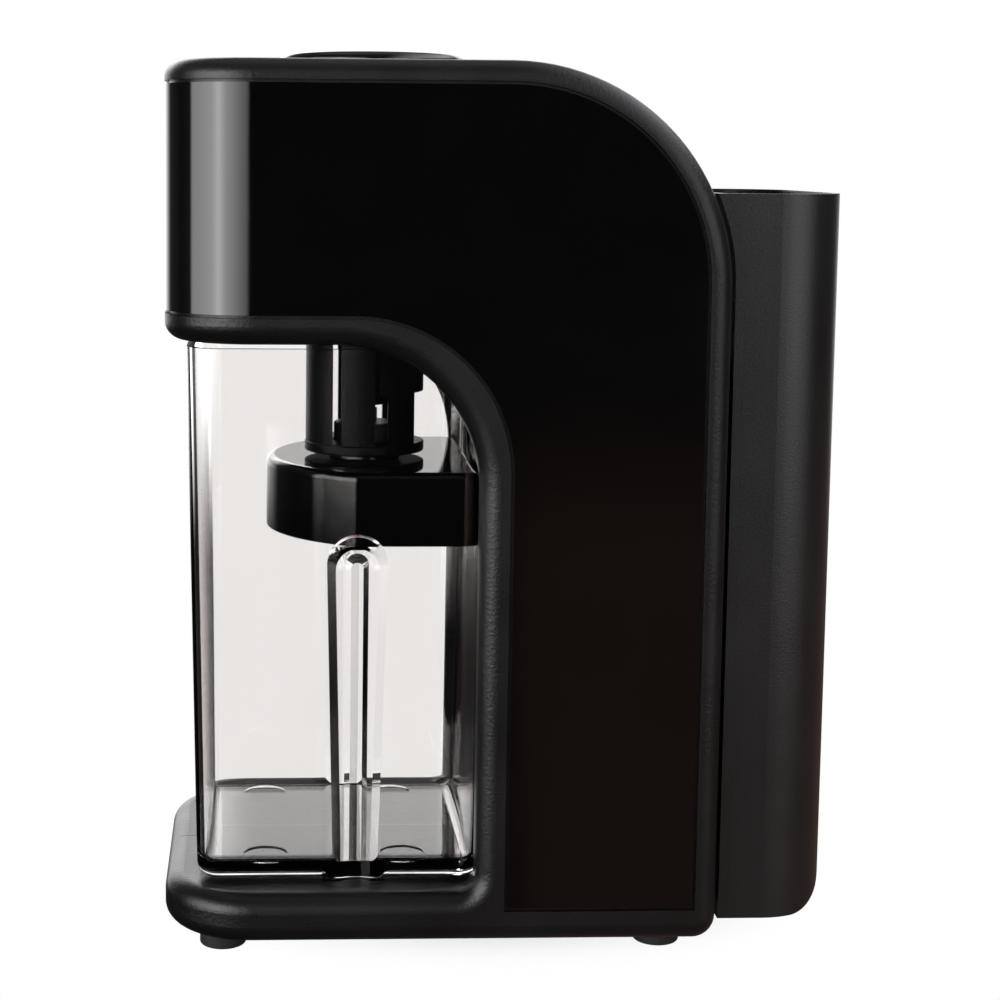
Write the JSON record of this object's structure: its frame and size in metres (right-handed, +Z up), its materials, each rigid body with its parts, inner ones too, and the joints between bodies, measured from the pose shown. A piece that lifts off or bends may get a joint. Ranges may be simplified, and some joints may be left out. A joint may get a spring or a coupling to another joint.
{
  "type": "milk frother",
  "caption": "Countertop milk frother with a C-shaped case, clear slide-out jug, magnet-driven froth chamber and rear lift-off tank.",
  "frame": {"origin": "centre of the bounding box at its bottom, on the counter plane under the feet", "axes": "+Z up, -X towards the user (jug side), +X towards the rear tank, +Y towards the user's left as the user faces the appliance's front"},
  "size_m": [0.203, 0.1136, 0.2679],
  "materials": {
    "satin_black": "fine-grained satin black housing plastic",
    "gloss_black": "polished piano black",
    "tank_black": "satin black",
    "clear": "clear, faintly smoky copolyester",
    "rubber_black": "matt",
    "steel": "turned and ground",
    "zinc_screw": "zinc plated",
    "motor_steel": "plated steel can",
    "grey_plastic": "moulded, matt",
    "white_plastic": "moulded nylon",
    "brass": "sintered",
    "copper": "enamelled copper wire look",
    "board_green": "solder mask over laminate",
    "magnet": "nickel plated",
    "wire": "flexible sleeve",
    "cap_black": "shrink sleeve"
  },
  "bodies": {
    "case": {"left_housing": "satin_black", "right_housing": "satin_black", "inlet_shell": "satin_black", "gloss_cover": "gloss_black", "housing_screws": "zinc_screw", "foot_1": "rubber_black", "foot_2": "rubber_black", "foot_3": "rubber_black", "foot_4": "rubber_black", "cord_gland": "rubber_black", "motor_mount": "grey_plastic", "mount_screws": "zinc_screw", "motor_can": "motor_steel", "lower_bearing": "white_plastic", "upper_bearing": "white_plastic", "drive_tower": "satin_black", "tower_bush": "brass", "tower_nut": "motor_steel", "switch_bracket": "grey_plastic", "switch_body": "cap_black", "switch_plunger": "white_plastic", "control_board": "board_green", "board_screws": "zinc_screw", "transformer": "cap_black", "capacitors": "cap_black", "terminal_block": "board_green", "supply_lead": "wire", "motor_lead": "wire", "tank_rail": "tank_black", "rail_screws": "zinc_screw"},
    "button": {"button": "gloss_black", "button_spring": "steel"},
    "rotor": {"motor_shaft": "steel", "armature": "copper", "drive_magnet_carrier": "grey_plastic", "drive_magnets": "magnet", "cooling_fan": "white_plastic"},
    "jug": {"jug": "clear", "froth_chamber": "gloss_black", "chamber_grille": "grey_plastic"},
    "whisk": {"whisk_hub": "grey_plastic", "driven_magnets": "magnet", "whisk_shaft": "steel", "froth_disc": "steel", "whisk_coil": "steel"},
    "tank": {"tank": "tank_black"}
  },
  "joints": [
    {"name": "button_press", "type": "slide", "parent": "case", "child": "button", "axis": [0, 0, -1], "range_m": [0, 0.002], "stiffness_N_per_m": 400, "springref_m": -0.002, "deforming": ["button_spring"]},
    {"name": "rotor_spin", "type": "hinge", "parent": "case", "child": "rotor", "pos_m": [-0.0401, 0, 0.19], "axis": [0, 0, 1], "continuous": true},
    {"name": "jug_slide", "type": "slide", "parent": "case", "child": "jug", "axis": [-1, 0, 0], "range_m": [0, 0.12]},
    {"name": "whisk_spin", "type": "hinge", "parent": "jug", "child": "whisk", "pos_m": [-0.0401, 0, 0.13], "axis": [0, 0, 1], "continuous": true},
    {"name": "tank_lift", "type": "slide", "parent": "case", "child": "tank", "axis": [0, 0, 1], "range_m": [0, 0.155]}
  ],
  "couplings": [
    {"joint": "whisk_spin", "follows": "rotor_spin", "ratio": 1}
  ]
}
